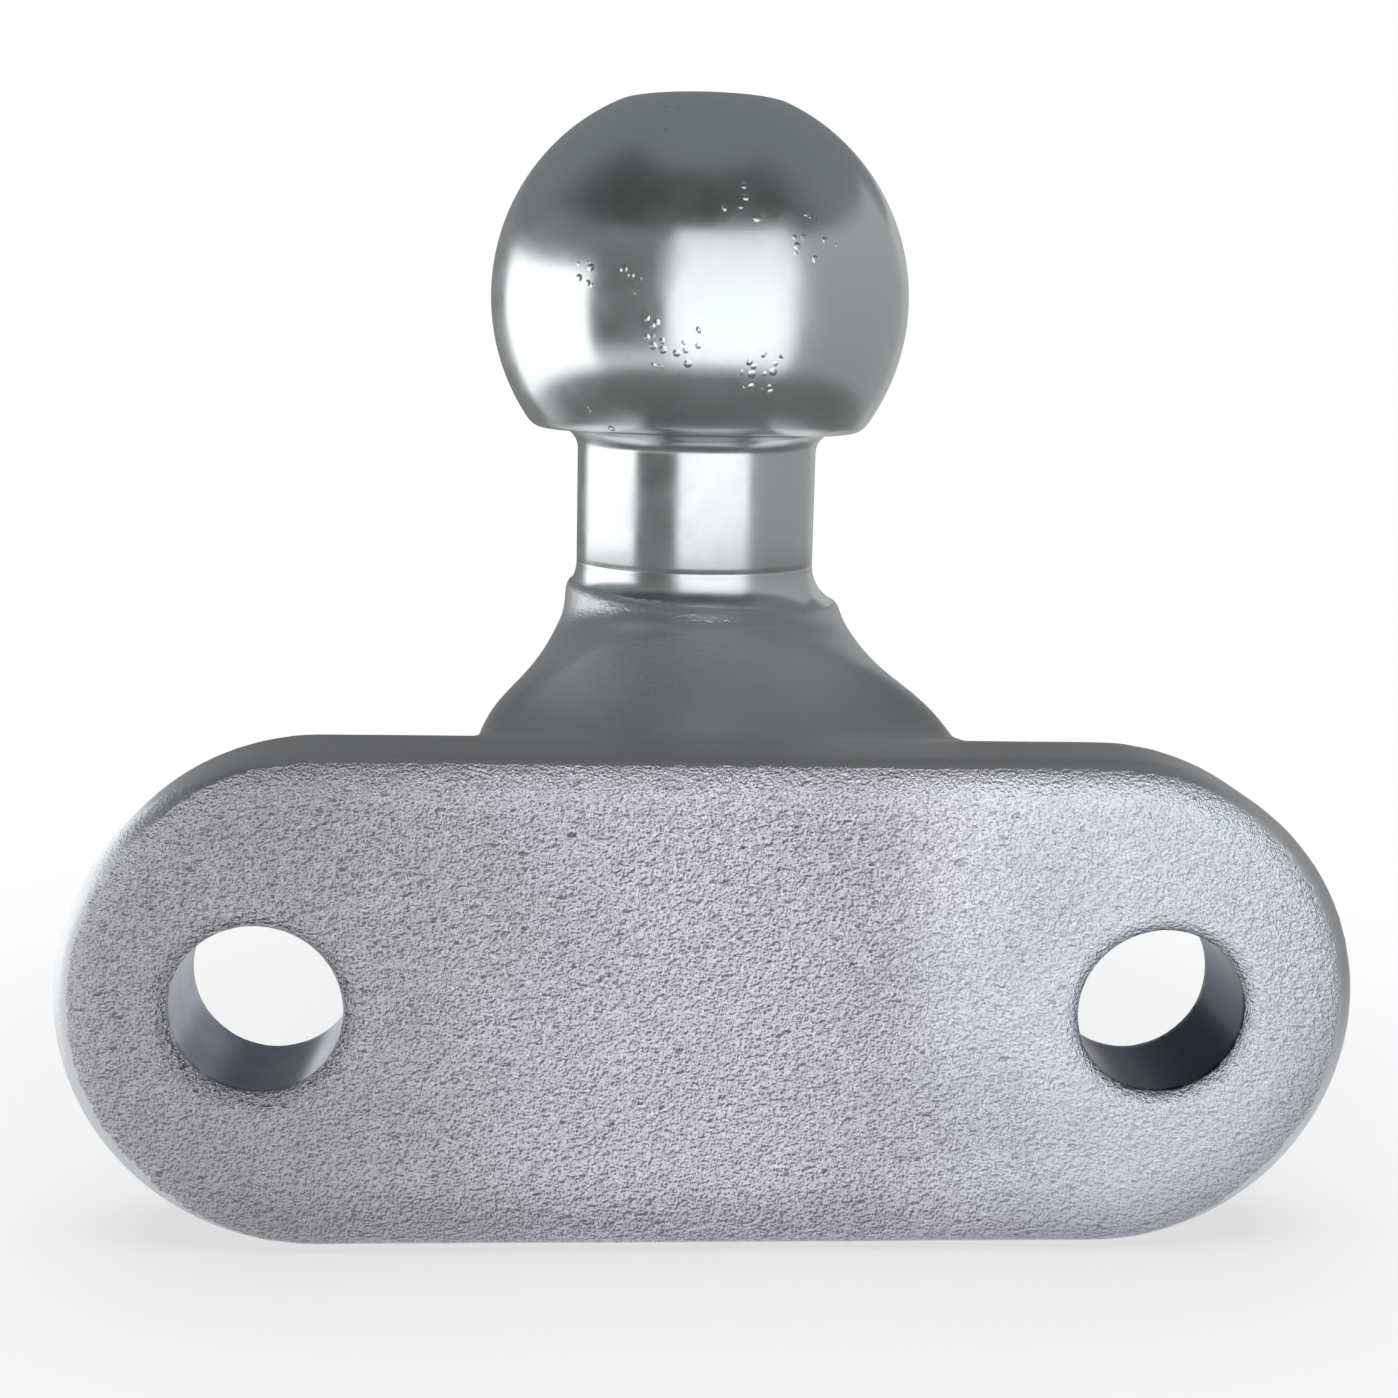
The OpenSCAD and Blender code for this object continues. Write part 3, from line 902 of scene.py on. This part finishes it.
class TowBallForm(bpy.types.PropertyGroup):
    """Sizes of the forging and of its skin."""

    plate_width: length("Plate width", 130, "Overall width of the plate along the hole line")
    plate_height: length("Plate height", 50.8, "Overall height of the plate")
    plate_thickness: length("Plate thickness", 15, "Thickness of the plate")
    plate_edge_radius: length("Plate edge", 3.2, "Radius of the outer edges of the plate")
    hole_spacing: length("Hole spacing", 90, "Distance between the bolt hole centres")
    hole_diameter: length("Hole diameter", 17, "Diameter of each bolt hole")
    hole_rim_radius: length("Hole rim", 1.8, "Radius of the rims of each bolt hole")
    bore_allowance: length("Bore allowance", 0.3, "Skin left in each hole for the drill")
    ball_diameter: length("Ball diameter", 50, "Diameter of the ball")
    ball_reach: length("Ball reach", 55, "Distance of the ball from the mounting face")
    ball_rise: length("Ball rise", 70, "Height of the ball above the hole line")
    crown_height: length("Crown height", 23.1, "Height of the flat top above the ball's centre")
    crown_radius: length("Crown radius", 4, "Radius between the flat top and the ball")
    under_depth: length("Underside depth", 15.3, "Depth of the underside below the centre")
    under_radius: length("Underside radius", 2.6, "Radius of the edge of the underside")
    neck_diameter: length("Neck diameter", 29, "Diameter of the turned neck")
    neck_top_radius: length("Neck top radius", 2.4, "Radius between the neck and the ball")
    neck_foot_radius: length("Neck foot radius", 5, "Radius between the neck and the collar")
    neck_foot_drop: length("Neck foot drop", 31.4, "Depth at which the foot radius starts")
    tool_step: length("Tool step", 0.016, "Depth of the tool line round the neck")
    collar_diameter: length("Collar diameter", 34, "Diameter of the collar")
    collar_top_drop: length("Collar top drop", 34.4, "Depth of the collar's top")
    collar_foot_drop: length("Collar foot drop", 38, "Depth of the collar's front foot")
    collar_back_drop: length("Collar back drop", 36.8, "Depth at which the heel meets the collar")
    collar_edge_radius: length("Collar edge", 1.6, "Largest radius of the collar's top edge")
    collar_lip: length("Collar lip", 0.25, "Step from the collar in to the foot radius")
    foot_inset: length("Foot inset", 0.4, "How far inside that step the turned foot stays")
    collar_lean: angle("Collar lean", 3.9, "Lean of the collar's top to the side")
    collar_dip: angle("Collar dip", 1, "Dip of the collar's top towards the plate")
    arm_shift: length("Arm shift", 1.1, "Sideways offset of the arm from the neck")
    arm_root_width: length("Arm root width", 53, "Width of the arm's top at the plate")
    arm_foot_width: length("Arm foot width", 46, "Width of the arm's underside at the plate")
    arm_top_step: length("Arm top step", 0.7, "Step from the plate down to the arm")
    arm_foot_step: length("Arm foot step", 2.8, "Step from the plate up to the arm")
    arm_root_radius: length("Arm root radius", 6, "Fillet between the arm and the plate")
    arm_top_radius: length("Arm top radius", 4, "Radius of the arm's upper edges")
    arm_foot_radius: length("Arm foot radius", 11, "Radius of the arm's lower edges")
    arm_fullness: share("Arm fullness", 3.4, "Fullness of the sides; 1 is a straight taper")
    edge_delay: share("Edge delay", 3, "How late the upper edges grow round")
    arm_overlap: length("Arm overlap", 5, "How far the arm starts inside the plate")
    heel_run: length("Heel run", 14, "Length over which the arm's top leaves the plate square")
    heel_reach: length("Heel reach", 8, "Length over which the heel turns to its slope")
    heel_slope: angle("Heel slope", 35, "Slope at which the heel meets the collar")
    belly_run: length("Belly run", 23, "Length over which the underside leaves square")
    belly_rise: length("Belly rise", 33, "Height over which the front comes up")
    skin_step: length("Skin step", 0.74, "Size of the facets of the forged skin")
    crease_rounds: IntProperty(
        name="Crease rounds", description="Rounds of easing of the concave creases", default=16
    )
    swell_length: length("Swell length", 15, "Wavelength of the slow waver of the skin")
    swell_depth: length("Swell depth", 0.12, "Depth of the slow waver")
    dent_length: length("Dent length", 5, "Wavelength of the middle waver")
    dent_depth: length("Dent depth", 0.06, "Depth of the middle waver")
    pit_length: length("Pit length", 2.2, "Wavelength of the quick waver")
    pit_depth: length("Pit depth", 0.04, "Depth of the quick waver")
    arm_waver: share("Arm waver", 0.4, "Share of the waver that the arm and the rim have")
    right_grain: share("Right grain", 0.5, "Share of the grain that the right of the faces has")
    sharp_angle: angle("Sharp angle", 32, "Angle over which an edge is sharp")


class TowBallFinish(bpy.types.PropertyGroup):
    """Colours, gloss and grain of the plating."""

    left_colour: colour("Left", (0.60, 0.59, 0.62), "Plating on the left of the faces")
    middle_colour: colour("Middle", (0.94, 0.91, 1.0), "Plating on the middle of the faces")
    right_colour: colour("Right", (0.63, 0.67, 0.71), "Plating on the right of the faces")
    # Colour of the painted shade in the grain and at the plate's lower edge
    grain_shade_colour: colour("Grain shade", (0.25, 0.24, 0.27), "Painted shade in the grain and at the lower edge")
    smooth_colour: colour("Arm and rim", (0.60, 0.615, 0.635), "Plating on the arm and rim")
    turned_colour: colour("Ball and neck", (0.66, 0.69, 0.70), "Plating on the turned surfaces")
    bored_colour: colour("Left bore", (0.27, 0.29, 0.34), "Plating in the left bolt hole")
    # Painted shade: the right bore is painted much darker than the left
    right_bore_shade_colour: colour("Right bore shade", (0.03, 0.045, 0.07), "Painted shade in the right bolt hole")
    # Strength of the painted highlight and painted shade at the plate's edges
    edge_light_shade: share("Edge light and shade", 0.4, "How much brighter or duller the edges of the plate are")
    face_roughness: share("Face roughness", 0.32, "Roughness of the faces")
    smooth_roughness: share("Arm roughness", 0.38, "Roughness of the arm and rim")
    turned_roughness: share("Ball roughness", 0.22, "Roughness of the ball and neck")
    bored_roughness: share("Bore roughness", 0.3, "Roughness of the bores")
    grains: share("Grains", 4000, "Grains of the skin to the metre")
    grain_depth: length("Grain depth", 0.42, "Height of the grains of the skin")
    smooth_grain: share("Smooth grain", 0.12, "Share of the grain on the arm and rim")
    line_depth: length("Line depth", 0.002, "Height of the tool lines")
    blister_cells: share("Blister cells", 850, "Places for blisters to the metre")
    blister_height: length("Blister height", 0.07, "Height of the blisters")


BALL_REACH = 0.055
# Step towards the upper left, the side that the painted light on the grains comes from
PAINTED_LIGHT_OFFSET = (-0.11 * MM, 0.0, 0.13 * MM)
BLISTER_SPOTS = (
    (-9.5, 31.9, 71.0, 3.0),
    (-4.5, 30.9, 65.0, 5.0),
    (6.0, 31.7, 62.0, 4.0),
    (10.8, 33.0, 76.0, 5.0),
    (3.5, 32.6, 80.0, 4.0),
    (-14.0, 34.4, 72.0, 2.5),
)
CARDS = (
    ("left_light", (-130, -56), 0.09, -0.02, 0.42, 0.17, (1.6, 1.9), 0.07),
    ("left_flag", (-60, -19), 0.096, 0.016, 0.36, 0.30, (0.12, 0.3), 0.03),
    ("front_light", (-20, 50), 0.11, -0.02, 0.33, 0.30, (1.6, 0.95), 0.05),
    ("right_flag", (44, 136), 0.085, -0.02, 0.35, 0.27, (0.36, 0.5), 0.04),
    ("low_flag", (-180, 180), 0.026, 0.029, 0.074, 0.034, (0.13, 0.2), 0.3),
    ("upper_flag", (-125, 95), 0.37, 0.27, 0.13, 0.46, (0.045, 0.12), 0.25),
    ("left_back_flag", (-180, -128), 0.12, -0.02, 0.45, 0.2, (0.2, 0.3), 0.06),
    ("right_back_flag", (134, 180), 0.12, -0.02, 0.45, 0.2, (0.5, 0.6), 0.06),
)
CAMERA_AXES = (
    (0.99817, -0.05627, 0.02216),
    (-0.01142, 0.18454, 0.98276),
    (-0.05939, -0.98121, 0.18356),
)


class TowBallStudio(bpy.types.PropertyGroup):
    """Camera, floor and light."""

    lens: share("Lens", 48.396, "Focal length in millimetres on a 36 mm sensor")
    camera_place: FloatVectorProperty(
        name="Camera",
        description="Position of the camera",
        default=(-0.0130, -0.17575, 0.0645),
        size=3,
        subtype="TRANSLATION",
        precision=5,
    )
    floor_size: length("Floor size", 12000, "Side of the floor")
    floor_colour: colour("Floor", (0.8, 0.8, 0.8), "Colour of the floor")
    fade_centre: length("Fade centre", 40, "Distance of the fade's centre from the mounting face")
    fade_start: length("Fade start", 60, "Distance at which the floor starts to fade to white")
    fade_end: length("Fade end", 150, "Distance at which the floor is white")
    lamp_size: length("Lamp size", 1200, "Side of the overhead lamp")
    lamp_height: length("Lamp height", 1200, "Height of the overhead lamp")
    lamp_power: share("Lamp power", 13.0, "Power of the overhead lamp in watts")
    near_white: share("Near white", 0.62, "Share of plain white in the floor at the object")
    horizon_colour: colour("Horizon", (1.0, 1.0, 1.0), "Surroundings up to the ceiling")
    ceiling_colour: colour("Ceiling", (0.22, 0.235, 0.24), "Surroundings overhead")
    ceiling_start: share("Ceiling start", 0.15, "Rise of direction where the ceiling starts")
    ceiling_end: share("Ceiling end", 0.24, "Rise of direction where it is fully dark")


# Operators


class TOWBALL_OT_forging(bpy.types.Operator):
    """Build the tow ball: forged skin, drilled holes and turned ball"""

    bl_idname = "towball.forging"
    bl_label = "Build tow ball"

    def execute(self, context):
        finish = context.scene.towball_finish
        materials = [
            forged_material(finish, grain_group()),
            turned_material(finish),
            bored_material(finish),
        ]
        piece = build_tow_ball(context.scene.towball_form, materials)
        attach(piece, "root")
        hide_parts("tow_ball")
        return {"FINISHED"}


class TOWBALL_OT_studio(bpy.types.Operator):
    """Build the floor, the light and the camera"""

    bl_idname = "towball.studio"
    bl_label = "Build studio"

    def execute(self, context):
        studio = context.scene.towball_studio
        view = context.scene.view_settings
        view.view_transform = "Standard"
        floor(studio)
        sky(studio)
        lamp(studio)
        for settings in CARDS:
            card(*settings)
        camera(studio)
        return {"FINISHED"}


class TOWBALL_PT_panel(bpy.types.Panel):
    """Panel with the steps of the tow ball"""

    bl_idname = "TOWBALL_PT_panel"
    bl_label = "Tow Ball"
    bl_space_type = "VIEW_3D"
    bl_region_type = "UI"
    bl_category = "Tow Ball"

    def draw(self, context):
        for operator in (TOWBALL_OT_forging, TOWBALL_OT_studio):
            self.layout.operator(operator.bl_idname)


CLASSES = (
    TowBallForm,
    TowBallFinish,
    TowBallStudio,
    TOWBALL_OT_forging,
    TOWBALL_OT_studio,
    TOWBALL_PT_panel,
)


def register():
    """Registers the classes and the settings of the scene."""
    for cls in CLASSES:
        bpy.utils.register_class(cls)
    bpy.types.Scene.towball_form = PointerProperty(type=TowBallForm)
    bpy.types.Scene.towball_finish = PointerProperty(type=TowBallFinish)
    bpy.types.Scene.towball_studio = PointerProperty(type=TowBallStudio)


def unregister():
    """Removes the settings and the classes."""
    del bpy.types.Scene.towball_form, bpy.types.Scene.towball_finish, bpy.types.Scene.towball_studio
    for cls in reversed(CLASSES):
        bpy.utils.unregister_class(cls)


def main():
    """Builds the tow ball and its studio."""
    register()
    bpy.ops.towball.forging()
    bpy.ops.towball.studio()


if __name__ == "__main__":
    main()
